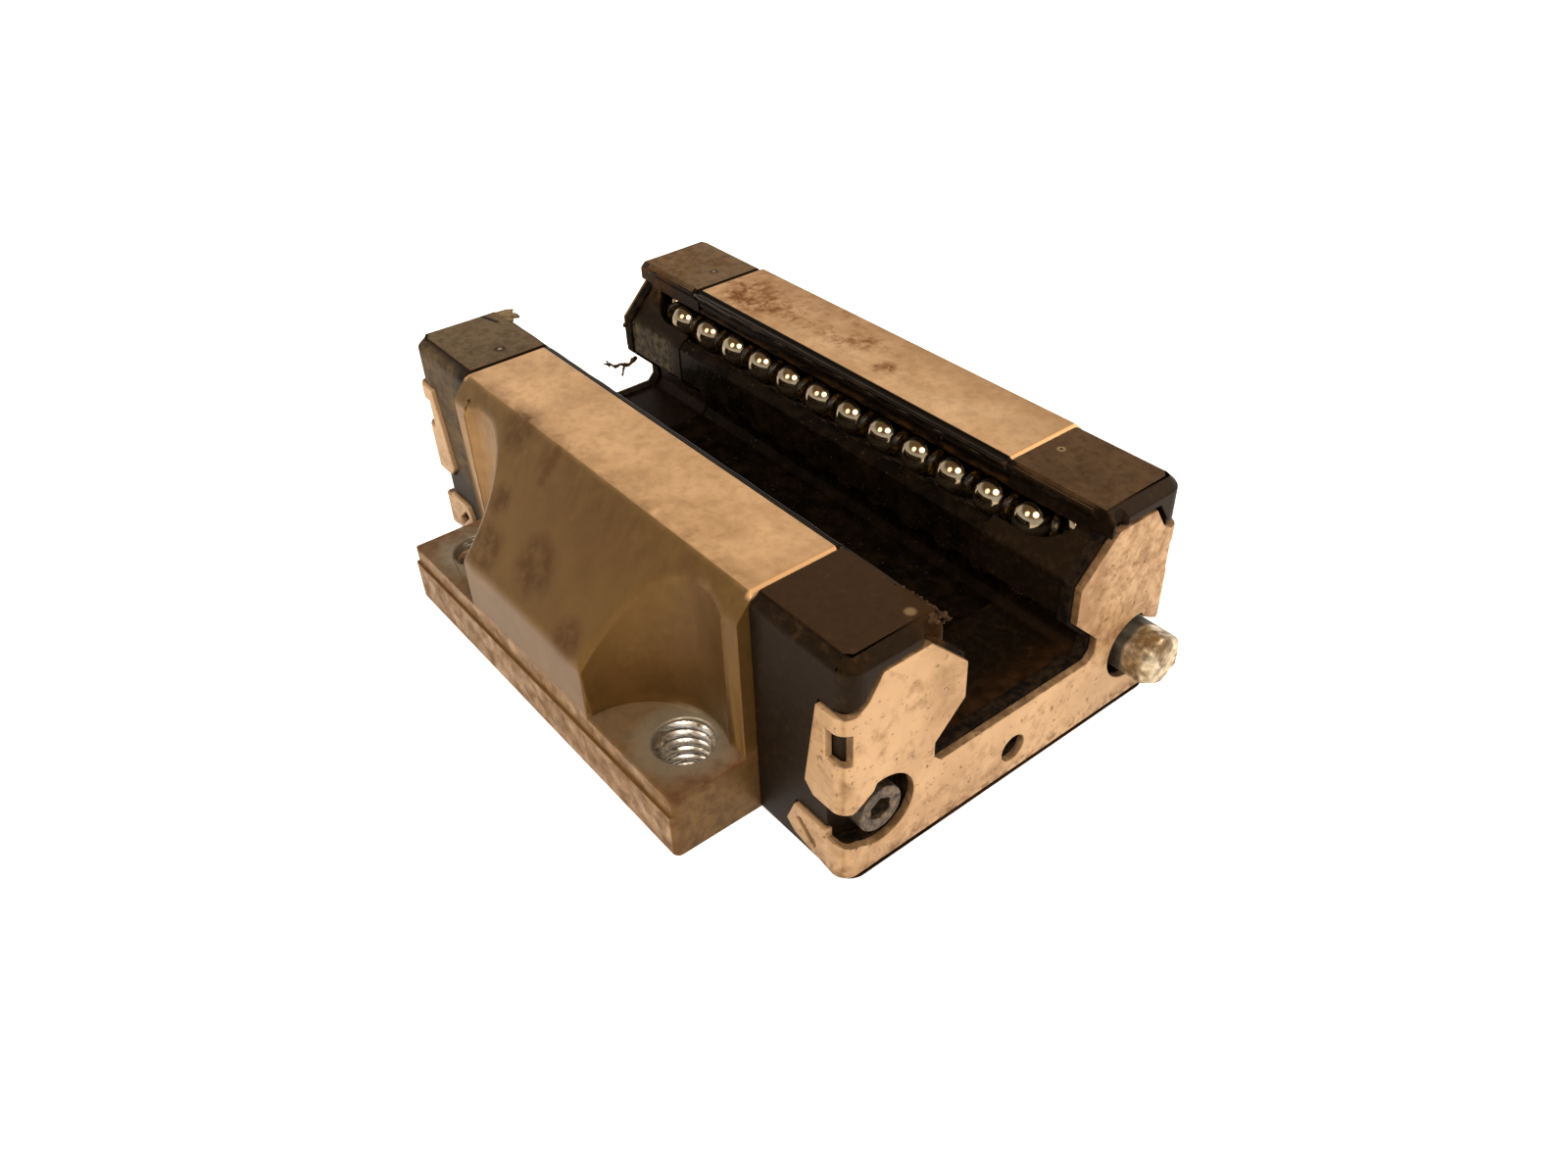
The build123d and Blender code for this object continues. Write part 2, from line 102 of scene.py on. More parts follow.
def finish(name, base, rough, metal, layers=(), grain=(), **constants):
    """A material of a base colour with layers of stain, wear or dirt over it.

    A layer has a colour, the size of its patches in mm, how soft their edges are, how much it covers,
    its roughness and metallic values, and the places it keeps to. A place is (quantity, none, full):
    the layer fades in between the two values. They are in mm for x, y and z, and for out_x and out_y,
    the distances from the middle. For up, sideways and lengthways they say how far a face points that way.
    Spots are (x, y, z, radius) in mm, and a layer that has them shows only round them.
    Grain is a list of (size in mm, height in mm, stretch along x, y and z) for the surface's bump.
    """
    material = bpy.data.materials.new(name)
    material.use_nodes = True
    tree = material.node_tree
    tree.nodes.clear()
    spot = add(tree, "TexCoord", {}).outputs["Object"]
    split = add(tree, "SeparateXYZ", {"Vector": spot})
    facing = add(tree, "SeparateXYZ", {"Vector": add(tree, "NewGeometry", {}).outputs["Normal"]})
    quantity = {axis.lower(): split.outputs[axis] for axis in "XYZ"}
    quantity["up"] = facing.outputs["Z"]
    for term, signed in (
        ("out_x", quantity["x"]), ("out_y", quantity["y"]),
        ("sideways", facing.outputs["Y"]), ("lengthways", facing.outputs["X"]),
    ):
        quantity[term] = add(tree, "Math", {0: signed}, operation="ABSOLUTE").outputs[0]

    def pattern(size, stretch, shift):
        """Noise with patches of a size in mm."""
        shifted = add(tree, "Mapping", {"Vector": spot, "Location": (shift, shift, 0), "Scale": stretch})
        return add(tree, "TexNoise", {
            "Vector": shifted.outputs[0], "Scale": 1 / (size * MM), "Detail": 5.0,
            "Roughness": 0.6, "Distortion": 0.3,
        }).outputs["Fac"]

    paint, dull, bare = base, rough, metal
    for count, layer in enumerate(layers):
        cover, soft = layer.get("cover", 0.5), layer.get("soft", 0.1)
        middle = NOISE_NONE - (NOISE_NONE - NOISE_ALL) * cover
        noise = pattern(layer["size"], layer.get("stretch", (1, 1, 1)), count * LAYER_SHIFT)
        mask = add(tree, "MapRange", {
            "Value": noise, "From Min": middle - soft / 2, "From Max": middle + soft / 2,
            "To Max": layer.get("amount", 1.0),
        }).outputs[0]
        for place, none, full in layer.get("places", ()):
            scale = MM if place in ("x", "y", "z", "out_x", "out_y") else 1.0
            inside = add(tree, "MapRange", {
                "Value": quantity[place], "From Min": none * scale, "From Max": full * scale,
            })
            mask = add(tree, "Math", {0: mask, 1: inside.outputs[0]}, operation="MULTIPLY").outputs[0]
        near = None
        for x, y, z, radius in layer.get("spots", ()):
            centre = (x * MM, y * MM, z * MM)
            away = add(tree, "VectorMath", {0: spot, 1: centre}, operation="DISTANCE")
            inside = add(tree, "MapRange", {
                "Value": away.outputs["Value"], "From Min": radius * MM, "From Max": 0.5 * radius * MM,
            }).outputs[0]
            if near:
                inside = add(tree, "Math", {0: near, 1: inside}, operation="MAXIMUM").outputs[0]
            near = inside
        if near:
            mask = add(tree, "Math", {0: mask, 1: near}, operation="MULTIPLY").outputs[0]
        paint = add(tree, "Mix", {
            MIX_FACTOR: mask, MIX_UNDER: paint, MIX_OVER: colour(layer["colour"]),
        }, data_type="RGBA").outputs[MIX_RESULT]
        dull = add(tree, "Mix", {0: mask, 2: dull, 3: layer.get("rough", rough)}).outputs[0]
        bare = add(tree, "Mix", {0: mask, 2: bare, 3: layer.get("metal", metal)}).outputs[0]
    shader = add(tree, "BsdfPrincipled", {
        "Base Color": paint, "Roughness": dull, "Metallic": bare, **constants,
    })
    normal = None
    for count, (size, height, stretch) in enumerate(grain):
        noise = pattern(size, stretch, GRAIN_SHIFT + count)
        inputs = {"Height": noise, "Distance": height * MM, "Strength": 1.0}
        if normal:
            inputs["Normal"] = normal
        normal = add(tree, "Bump", inputs).outputs[0]
    if normal:
        tree.links.new(normal, shader.inputs["Normal"])
    output = add(tree, "OutputMaterial", {"Surface": shader.outputs[0]})
    output.is_active_output = True
    return material


# Places that several layers keep to: the ground tips of the legs, and the upper faces of the caps
LEG_TOP = ("z", 28.6, 29.1)
CAP_TOP_FACE = [("up", 0.95, 0.99), ("z", 27.0, 28.6)]

# Carbon steel, milled and oiled. Its slopes and pockets are dark olive, partly its oiled finish and partly
# painted shade, and the ground leg tips are tan with rust stains, most of them at the rear of the right leg.
block_steel = finish(
    "milled_block_steel", colour("#5c411c"), 0.42, 0.55,
    layers=[
        {"colour": "#6e5328", "size": 18, "soft": 0.5, "cover": 0.5, "stretch": (1, 0.4, 0.4)},
        {"colour": "#4a3212", "size": 3.4, "soft": 0.5, "cover": 0.35, "amount": 0.45,
         "stretch": (1, 0.6, 0.6), "places": [("z", 8.6, 12)]},
        {"colour": "#7a6032", "size": 8, "soft": 0.5, "cover": 0.9, "amount": 0.6,
         "places": [("x", 6, -18), ("z", 10, 14)]},
        # Painted shade: the walls of the front pockets are made darker brown.
        {"colour": "#4a3214", "size": 6, "soft": 0.5, "cover": 1.0, "amount": 0.45,
         "places": [("x", 12, 16), ("z", 9, 10), ("z", 26, 21), ("up", 0.5, 0.2), ("out_y", 34.55, 34.3)]},
        # Painted light: the rear pocket's wall, which faces the lamps, is made lighter in streaky patches.
        {"colour": "#9b7748", "size": 3.5, "soft": 0.5, "cover": 1.0, "amount": 0.85,
         "stretch": (1, 1, 0.2),
         "places": [("x", -9, -14), ("z", 9, 11), ("out_y", 34.55, 34.3), ("up", 0.3, 0.1)]},
        {"colour": "#9a7b54", "size": 5, "soft": 0.3, "cover": 0.9, "rough": 0.4,
         "places": [("sideways", 0.8, 0.95), ("z", 9.2, 8.2)]},
        {"colour": "#d3ac80", "size": 9, "soft": 0.3, "cover": 1.4, "rough": 0.45, "metal": 0.3,
         "places": [("z", 29.0, 29.17)]},
        {"colour": "#b18a5e", "size": 6, "soft": 0.4, "cover": 0.42, "amount": 0.7, "places": [LEG_TOP]},
        {"colour": "#e2c198", "size": 5, "soft": 0.35, "cover": 0.3, "amount": 0.6,
         "stretch": (0.5, 1, 1), "places": [LEG_TOP, ("y", 12, 13)]},
        {"colour": "#94693c", "size": 3, "soft": 0.35, "cover": 0.42, "amount": 0.7, "rough": 0.7,
         "metal": 0.1, "places": [LEG_TOP, ("y", 12, 13), ("x", 8, -16)]},
        {"colour": "#63401f", "size": 1.3, "soft": 0.2, "cover": 0.27, "amount": 0.8, "rough": 0.8,
         "metal": 0.0, "places": [LEG_TOP, ("y", 13.5, 16), ("x", 20, -6)]},
        {"colour": "#6b421c", "size": 1.5, "soft": 0.2, "cover": 0.55, "rough": 0.8, "metal": 0.0,
         "spots": [(-19.5, 16.4, 29.2, 5.0), (-23.5, 14.8, 29.2, 3.4), (-24.5, 18.0, 29.2, 4.0),
                   (-2.5, 18.5, 29.2, 2.6), (4.5, 15.8, 29.2, 2.0)]},
        {"colour": "#6b4a28", "size": 1.4, "soft": 0.4, "cover": 0.17, "amount": 0.45, "rough": 0.5,
         "metal": 0.2},
        {"colour": "#4a3112", "size": 2.0, "soft": 0.3, "cover": 0.42, "amount": 0.5, "rough": 0.6,
         "stretch": (1, 0.7, 0.7), "places": [("z", 29.0, 28.5), ("z", 22, 27)]},
        {"colour": "#7a5a30", "size": 2.4, "soft": 0.3, "cover": 0.42, "amount": 0.6,
         "places": [("z", 29.0, 29.15), ("out_y", 20.6, 22.5)]},
        {"colour": "#a87e4e", "size": 5, "soft": 0.5, "cover": 0.85, "amount": 0.55,
         "places": [("z", 29.0, 29.15), ("y", 15.5, 21.0)]},
        {"colour": "#472b0f", "size": 1.8, "soft": 0.35, "cover": 0.7, "amount": 0.7, "rough": 0.6,
         "spots": [(-0.7, -31.2, 19.5, 4.5), (-9.9, -32.8, 17.6, 4.0), (9.3, -33.6, 16.7, 3.0),
                   (-14.4, -23.9, 28.1, 3.6), (-1.4, -30.5, 20.3, 2.6), (-11.6, -29.2, 21.9, 2.4)]},
        {"colour": "#55350f", "size": 3.0, "soft": 0.5, "cover": 1.1, "amount": 0.6, "rough": 0.6,
         "stretch": (1, 0.3, 0.3),
         "spots": [(-6.3, -23.6, 28.4, 1.1), (-6.4, -24.4, 27.5, 1.1), (-6.5, -25.2, 26.6, 1.0),
                   (-6.5, -26.0, 25.6, 0.9)]},
        {"colour": "#806a4c", "size": 4, "soft": 0.4, "cover": 1.0, "metal": 0.5,
         "places": [("z", 9.2, 8.6), ("z", 8.0, 8.3), ("up", 0.8, 0.95)]},
        {"colour": "#a9a08c", "size": 3, "soft": 0.5, "cover": 1.2, "metal": 0.8, "rough": 0.35,
         "places": [("z", 9.0, 8.6)],
         "spots": [(x, y, 8.4, 6.4) for x in (-22.5, 22.5) for y in (-28.5, 28.5)]},
        {"colour": "#5d3517", "size": 2.2, "soft": 0.3, "cover": 0.55, "amount": 0.85, "rough": 0.8,
         "metal": 0.0, "places": [("z", 9.0, 8.5), ("z", 7.2, 8.2), ("out_x", 24.5, 28.0)]},
        {"colour": "#c39a6c", "size": 3, "soft": 0.4, "cover": 1.4, "rough": 0.5,
         "places": [("z", 28.3, 28.7), ("out_x", 28.0, 28.4)]},
        {"colour": "#6b4320", "size": 2.2, "soft": 0.3, "cover": 0.45, "rough": 0.85, "metal": 0.0,
         "amount": 0.7, "places": [("out_y", 32.5, 34.8), ("z", 9.4, 7.6)]},
        {"colour": "#3a2410", "size": 1.6, "soft": 0.3, "cover": 0.3, "amount": 0.6, "rough": 0.8,
         "metal": 0.0, "places": [("z", 9.4, 8.3)]},
        # Painted shade: the steel beside the side lips, below the leg tips, is near-black and not metallic.
        {"colour": "#0e0a07", "size": 5, "soft": 0.5, "cover": 1.4, "rough": 0.3, "metal": 0.0,
         "places": [("out_y", 12.45, 12.38), ("z", 26.0, 26.6)]},
    ],
    grain=[(1.2, 0.02, (1, 1, 1)), (0.35, 0.01, (0.3, 1, 1))],
    **{"Specular IOR Level": 0.25},
)

# Bearing steel, ground along the rail. It shines in thin lines.
race_steel = finish(
    "ground_race_steel", colour("#a89a84"), 0.25, 1.0,
    layers=[{"colour": "#3a2712", "size": 1.5, "soft": 0.2, "cover": 0.6, "rough": 0.5, "metal": 0.4}],
    grain=[(0.3, 0.006, (0.1, 1, 1))],
)

# Bearing balls, lapped and polished, with a brown film of old oil, and painted shade that darkens them
# underneath.
ball_steel = finish(
    "lapped_ball_steel", colour("#ac9b80"), 0.11, 1.0,
    layers=[
        {"colour": "#6d573a", "size": 1.6, "soft": 0.4, "cover": 0.5, "rough": 0.14, "amount": 0.6},
        # Painted shade: darker brown on the undersides of the balls.
        {"colour": "#3a240b", "size": 0.5, "soft": 0.3, "cover": 0.7, "rough": 0.3, "metal": 0.7,
         "places": [("up", 0.3, -0.25)]},
    ],
)

# Zinc-plated sheet, bent cold. It is pale and smooth, with brown stains towards its edges and freckles, and
# painted shade on its rims.
sheet_steel = finish(
    "plated_sheet_steel", colour("#cba981"), 0.45, 0.25,
    layers=[
        {"colour": "#b08e67", "size": 7, "soft": 0.5, "cover": 0.5},
        {"colour": "#8f6c45", "size": 3, "soft": 0.4, "cover": 0.75, "amount": 0.75,
         "places": [("out_y", 14.5, 11.0), ("z", 12, 17)]},
        {"colour": "#8f6c45", "size": 2.2, "soft": 0.35, "cover": 0.5, "amount": 0.75,
         "places": [("z", 8.2, 4.5), ("y", 4, -6)]},
        {"colour": "#7c5833", "size": 2.4, "soft": 0.2, "cover": 0.2, "rough": 0.6, "metal": 0.1,
         "amount": 0.65},
        {"colour": "#7a5531", "size": 1.3, "soft": 0.25, "cover": 0.36, "rough": 0.7, "metal": 0.1,
         "amount": 0.7, "places": [("y", 8, 12), ("z", 6, 10)]},
        {"colour": "#6b4322", "size": 1.6, "soft": 0.25, "cover": 0.5, "rough": 0.7, "metal": 0.1,
         "amount": 0.65,
         "spots": [(43.1, 12.2, 13.5, 3.4), (43.1, 19.8, 21.5, 2.4), (43.1, 16.0, 12.0, 2.0)]},
        {"colour": "#5c3d20", "size": 1.1, "soft": 0.2, "cover": 0.4, "rough": 0.7, "metal": 0.1,
         "amount": 0.7, "places": [("z", 3.4, 1.6)]},
        {"colour": "#453018", "size": 0.7, "soft": 0.1, "cover": 0.14, "rough": 0.7, "metal": 0.1,
         "amount": 0.8},
        # Painted shade, with dirt: the rims and bent edges of the plates are darker brown.
        {"colour": "#4f3519", "size": 1.5, "soft": 0.5, "cover": 0.9, "rough": 0.7, "metal": 0.1,
         "amount": 0.85, "places": [("lengthways", 0.8, 0.5), ("out_y", 23.9, 23.6)]},
    ],
    grain=[(2.5, 0.04, (1, 1, 1)), (0.5, 0.01, (1, 1, 1))],
    **{"Specular IOR Level": 0.3},
)

# Quenched screw steel under black oxide and dirt.
screw_steel = finish(
    "oxide_screw_steel", colour("#3d332a"), 0.4, 0.8,
    layers=[
        {"colour": "#6f5c46", "size": 0.9, "soft": 0.2, "cover": 0.4, "rough": 0.4},
        {"colour": "#1a110a", "size": 0.7, "soft": 0.15, "cover": 0.35, "rough": 0.8, "metal": 0.0},
    ],
    grain=[(0.5, 0.02, (1, 1, 1))],
)

# Nickel-plated screw, its pale plating worn through and full of grime.
hexagon_steel = finish(
    "worn_nickel_plating", colour("#7d6744"), 0.38, 0.7,
    layers=[
        {"colour": "#e4d8bb", "size": 2.4, "soft": 0.25, "cover": 0.42, "rough": 0.34, "metal": 0.6},
        {"colour": "#4f3a1e", "size": 1.3, "soft": 0.2, "cover": 0.38, "rough": 0.7, "metal": 0.2,
         "amount": 0.85},
        {"colour": "#150f09", "size": 1.6, "soft": 0.3, "cover": 1.2, "rough": 0.6, "metal": 0.1,
         "amount": 0.9, "places": [("x", 44.2, 43.7)]},
    ],
    grain=[(1.1, 0.05, (1, 1, 1))],
)

# Thread cut in the same steel, kept bright by the screws that ran in it, with dirt in its grooves.
thread_steel = finish(
    "cut_thread_steel", colour("#cfc8bc"), 0.25, 1.0,
    layers=[{"colour": "#4c3a26", "size": 1.3, "soft": 0.2, "cover": 0.35, "rough": 0.6, "metal": 0.5}],
)

# Glass-filled nylon, moulded. Its matt skin is lighter brown on top, partly painted light where the lamps
# fall and partly dust, most at the rear.
black_nylon = finish(
    "moulded_black_nylon", colour("#120c07"), 0.5, 0.0,
    layers=[
        # Painted light: every upper face of the caps is made a lighter brown.
        {"colour": "#332415", "size": 8, "soft": 0.5, "cover": 1.4, "rough": 0.55, "places": CAP_TOP_FACE},
        {"colour": "#76654c", "size": 6, "soft": 0.5, "cover": 1.1, "amount": 0.68,
         "places": [*CAP_TOP_FACE, ("x", 22, -44)]},
        {"colour": "#8a7250", "size": 6, "soft": 0.5, "cover": 1.0, "amount": 0.5,
         "places": [*CAP_TOP_FACE, ("x", -20, -32), ("y", 8, 14)]},
        {"colour": "#5f4830", "size": 6, "soft": 0.5, "cover": 1.0, "amount": 0.6,
         "places": [*CAP_TOP_FACE, ("y", -8, 14)]},
        {"colour": "#857253", "size": 1.6, "soft": 0.5, "cover": 0.6, "amount": 0.7, "rough": 0.7,
         "stretch": (0.6, 1, 1), "places": [("x", -30, -33), ("y", -22.5, -23.4), ("z", 9, 14)]},
        {"colour": "#6f6550", "size": 0.45, "soft": 0.2, "cover": 0.5, "amount": 0.8, "rough": 0.7,
         "stretch": (0.5, 1, 0.5),
         "places": [("x", -30, -32), ("z", 12.5, 14), ("z", 22.5, 21), ("sideways", 0.6, 0.9), ("y", 7, 8)]},
        {"colour": "#261b10", "size": 0.9, "soft": 0.3, "cover": 0.3, "amount": 0.6, "rough": 0.6},
        {"colour": "#4a3722", "size": 1.4, "soft": 0.2, "cover": 0.08, "rough": 0.7, "amount": 0.45},
        {"colour": "#4a2d14", "size": 2.0, "soft": 0.4, "cover": 0.45, "rough": 0.7, "amount": 0.5,
         "places": [("x", 36, 41), ("z", 12.5, 10.5), ("out_y", 13, 11)]},
        {"colour": "#33210f", "size": 1.0, "soft": 0.3, "cover": 0.7, "rough": 0.85,
         "spots": [(41.5, -12.0, 28.8, 3.4), (43.0, -12.8, 27.6, 2.4), (38.5, -11.2, 29.0, 2.0)]},
        {"colour": "#5a4024", "size": 1.2, "soft": 0.3, "cover": 0.45, "rough": 0.8, "amount": 0.8,
         "spots": [(-38.5, 13.5, 29.2, 7.0), (-34.5, 19.5, 29.2, 2.2), (-40.0, 17.5, 29.2, 3.5)]},
        {"colour": "#8b7656", "size": 3, "soft": 0.5, "cover": 1.4, "rough": 0.5,
         "spots": [(31.0, 17.6, 29.2, 0.6)]},
        {"colour": "#6f5c40", "size": 3, "soft": 0.5, "cover": 1.4, "rough": 0.5,
         "spots": [(40.6, -13.9, 29.2, 0.75)]},
        # Dark spots on the cap tops. The row of eleven along the lower edge of the torn flake at the rear is
        # a painted shadow.
        {"colour": "#1d150d", "size": 3, "soft": 0.5, "cover": 1.4, "rough": 0.5,
         "spots": [(-31.7, -16.8, 29.2, 0.95), (31.0, 17.6, 29.2, 0.3), (-32.2, 17.2, 29.2, 0.8)]
         + [(-41.9 + 0.3 * i, -14.15 + 0.08 * i, 29.2, 0.42) for i in range(11)]},
        {"colour": "#8b7a60", "size": 3, "soft": 0.5, "cover": 1.4, "rough": 0.5,
         "spots": [(-31.7, -16.8, 29.2, 0.4), (-32.2, 17.2, 29.2, 0.35)]},
    ],
    grain=[(0.6, 0.02, (1, 1, 1))],
    **{"Specular IOR Level": 0.1, "Specular Tint": colour("#ffc58c")},
)

# Black nylon of the guide strips, wet with old grease and rusty oil over the balls.
greasy_nylon = finish(
    "greasy_black_nylon", colour("#090705"), 0.25, 0.0,
    layers=[
        {"colour": "#1c130a", "size": 2.4, "soft": 0.3, "cover": 0.35, "rough": 0.4},
        {"colour": "#4a2f17", "size": 0.9, "soft": 0.25, "cover": 0.34, "rough": 0.35, "amount": 0.65,
         "stretch": (0.3, 1, 1), "places": [("z", 26.7, 26.2), ("z", 24.0, 24.5)]},
        {"colour": "#6b5636", "size": 0.5, "soft": 0.1, "cover": 0.06, "rough": 0.6, "amount": 0.6},
    ],
    grain=[(1.4, 0.04, (0.4, 1, 1)), (0.4, 0.01, (1, 1, 1))],
    **{"Specular IOR Level": 0.04, "Specular Tint": colour("#ffd2a0")},
)

# Side lips of the same nylon, rubbed glossy by the rail. The bead along each shows as a thin bright line.
rubbed_nylon = finish(
    "rubbed_black_nylon", colour("#0a0806"), 0.16, 0.0,
    layers=[
        {"colour": "#2a1c0e", "size": 1.2, "soft": 0.25, "cover": 0.2, "rough": 0.45,
         "stretch": (0.3, 1, 1)},
        {"colour": "#050403", "size": 3, "soft": 0.5, "cover": 1.4, "rough": 0.95,
         "places": [("out_y", 11.88, 11.93)]},
    ],
    grain=[(1.8, 0.012, (0.3, 1, 1))],
    **{"Specular IOR Level": 0.22, "Specular Tint": colour("#ffd9b0")},
)

# Polyester spacers, soaked in brown oil, with painted golden glints.
oily_spacer = finish(
    "oily_polyester", colour("#170e05"), 0.25, 0.0,
    layers=[
        # Painted glints: small golden specks, half metallic.
        {"colour": "#6a4a1a", "size": 0.5, "soft": 0.25, "cover": 0.2, "rough": 0.2, "metal": 0.4},
    ],
    grain=[(0.5, 0.04, (1, 1, 1))],
    **{"Specular IOR Level": 0.25},
)

# Nitrile rubber seal, matt and dusty.
seal_rubber = finish(
    "nitrile_seal_rubber", colour("#0b0806"), 0.75, 0.0,
    layers=[
        {"colour": "#2c2015", "size": 1.2, "soft": 0.25, "cover": 0.4, "rough": 0.8},
        {"colour": "#4a3119", "size": 0.9, "soft": 0.3, "cover": 0.6, "rough": 0.85,
         "spots": [(41.4, -11.0, 26.9, 3.4)]},
    ],
    grain=[(0.7, 0.03, (1, 1, 1))],
    **{"Specular IOR Level": 0.05},
)

# Crumbs of rust and dirt, dry and dull brown.
brown_crumbs = finish(
    "dry_rust_crumbs", colour("#1e1208"), 0.85, 0.0,
    layers=[{"colour": "#4b331c", "size": 0.8, "soft": 0.3, "cover": 0.45}],
    grain=[(0.3, 0.05, (1, 1, 1))],
    **{"Specular IOR Level": 0.2},
)

# Torn nylon, its rough fracture brown with dust.
torn_nylon = finish(
    "torn_black_nylon", colour("#4d3d2a"), 0.7, 0.0,
    layers=[{"colour": "#857050", "size": 0.9, "soft": 0.3, "cover": 0.5}],
    grain=[(0.3, 0.05, (1, 1, 1))],
    **{"Specular IOR Level": 0.2},
)

# Chip of pale plastic, matt and stained. It lies just under the floor guide's top, out of sight.
pale_chip = finish(
    "pale_polymer_chip", colour("#b7aa92"), 0.5, 0.0,
    layers=[{"colour": "#6e6048", "size": 0.5, "soft": 0.3, "cover": 0.4}],
    grain=[(0.4, 0.03, (1, 1, 1))],
)


# Pieces made from the model's own solids

def welded(node):
    """The node's mesh with its corners joined and its flat faces made whole."""
    source = frame["nodes"][node].data
    shape = bmesh.new()
    corners = [shape.verts.new(v.co) for v in source.vertices]
    for face in source.polygons:
        shape.faces.new([corners[i] for i in face.vertices])
    bmesh.ops.remove_doubles(shape, verts=shape.verts, dist=WELD_DISTANCE)
    bmesh.ops.dissolve_limit(
        shape, angle_limit=FLAT_ANGLE, verts=shape.verts, edges=shape.edges, use_dissolve_boundaries=False
    )
    return shape


def stand_in(name, shape, material, slot, *nodes):
    """A piece from a bmesh, smooth shaded, that replaces CAD nodes."""
    mesh = bpy.data.meshes.new(name)
    shape.to_mesh(mesh)
    shape.free()
    for face in mesh.polygons:
        face.use_smooth = True
    mesh.materials.append(material)
    piece = bpy.data.objects.new(name, mesh)
    bpy.context.scene.collection.objects.link(piece)
    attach(piece, "root")
    if nodes:
        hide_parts(*nodes)
    return piece


def weigh_normals(piece, weight=50):
    """Shade a piece's broad faces flat and only its narrow ones round."""
    weighted = piece.modifiers.new("normals", "WEIGHTED_NORMAL")
    weighted.keep_sharp = True
    weighted.weight = weight


def softened(node, name, material, slot, softness, segments=2):
    """A stand-in for a node with its sharp edges rounded.

    softness(edge) gives each edge's width in mm. An edge with width 0 stays sharp.
    """
    shape = welded(node)
    layer = shape.edges.layers.float.new("bevel_weight_edge")
    widest = 0
    widths = {}
    for edge in shape.edges:
        if len(edge.link_faces) == 2 and edge.calc_face_angle() > SHARP_ANGLE:
            widths[edge] = softness(edge)
            widest = max(widest, widths[edge])
    for edge, width in widths.items():
        edge[layer] = width / widest
        edge.smooth = width > 0
    piece = stand_in(name, shape, material, slot, node)
    bevel = piece.modifiers.new("edges", "BEVEL")
    bevel.limit_method = "WEIGHT"
    bevel.width = widest * MM
    bevel.segments = segments
    bevel.use_clamp_overlap = False
    weigh_normals(piece, 80)
    return piece


def block_edge(edge):
    """How far an edge of the steel block is worn round, in mm."""
    middle = (edge.verts[0].co + edge.verts[1].co) / 2
    ups = sorted(face.normal.z for face in edge.link_faces)
    hole = min(
        (Vector((middle.x, middle.y)) - Vector((sx * TAP_SPACING[0] / 2, sy * TAP_SPACING[1] / 2))).length
        for sx in (-1, 1) for sy in (-1, 1)
    )
    if not edge.is_convex and abs(middle.z - FLANGE_TOP) < 0.1 * MM:
        return 0.0
    if hole < TAP_RADIUS + 0.1 * MM:
        return 0.3 if middle.z > FLANGE_TOP / 2 else 0.2
    if abs(middle.z - REFERENCE_TOP) < 0.1 * MM:
        return 0.12
    if 0.5 < ups[1] < 0.8 and abs(ups[0]) < 0.05 and abs(middle.x) < 28 * MM:
        return 0.8
    if abs(middle.y) < 24 * MM and abs(middle.x) > 28.8 * MM:
        return 0.1
    if middle.z < 10 * MM and abs(middle.y) > 30 * MM:
        return 0.35
    return 0.15


def cap_edge(edge):
    """How far an edge of an end cap is rounded, in mm: most along the sloping rim, least at its notches."""
    reach = [(Vector((abs(v.co.x), abs(v.co.y))) - Vector(CAP_NOTCH)).length for v in edge.verts]
    if max(reach) < 1.3 * MM:
        return 0.05
    if not any(0.6 < face.normal.z < 0.8 for face in edge.link_faces):
        return 0.12
    return 0.2 if min(abs(v.co.x) for v in edge.verts) > 41 * MM else 0.34


softened("carriage_body", "steel_block", block_steel, "block_steel", block_edge)
for side in ("left", "right"):
    softened(f"raceway_insert_{side}", f"race_{side}", race_steel, "race_steel", lambda edge: 0.05)
    softened(f"tip_guide_{side}", f"tip_strip_{side}", greasy_nylon, "black_plastic", lambda edge: 0.12)
    softened(f"middle_guide_{side}", f"nose_strip_{side}", greasy_nylon, "black_plastic", lambda edge: 0.15)
softened("floor_guide", "floor_strip", greasy_nylon, "black_plastic", lambda edge: 0.12)
for end in ("front", "rear"):
    softened(f"end_cap_{end}", f"moulded_cap_{end}", black_nylon, "black_plastic", cap_edge, segments=3)
    softened(f"end_seal_{end}", f"lip_seal_{end}", seal_rubber, "seal_rubber", lambda edge: 0.06)
    softened(f"end_plate_{end}", f"bent_plate_{end}", sheet_steel, "sheet_steel", lambda edge: 0.14)
    softened(f"return_cores_{end}", f"turn_cores_{end}", greasy_nylon, "black_plastic", lambda edge: 0.1)
softened("cap_screw_front", "socket_screw_front", screw_steel, "screw_steel", lambda edge: 0.15)
softened("cap_screws_rear", "socket_screws_rear", screw_steel, "screw_steel", lambda edge: 0.15)
softened("hex_flange_screw", "hexagon_screw", hexagon_steel, "screw_steel", lambda edge: 0.3, segments=3)


def islands(node):
    """The separate solids of a node, each as its centre and its largest face's normal."""
    shape = welded(node)
    waiting = set(shape.verts)
    found = []
    while waiting:
        group = {waiting.pop()}
        unchecked = list(group)
        while unchecked:
            vert = unchecked.pop()
            for edge in vert.link_edges:
                other = edge.other_vert(vert)
                if other not in group:
                    group.add(other)
                    unchecked.append(other)
        waiting -= group
        centre = sum((v.co for v in group), Vector()) / len(group)
        faces = {face for vert in group for face in vert.link_faces}
        found.append((centre, max(faces, key=lambda face: face.calc_area()).normal.copy()))
    shape.free()
    return found


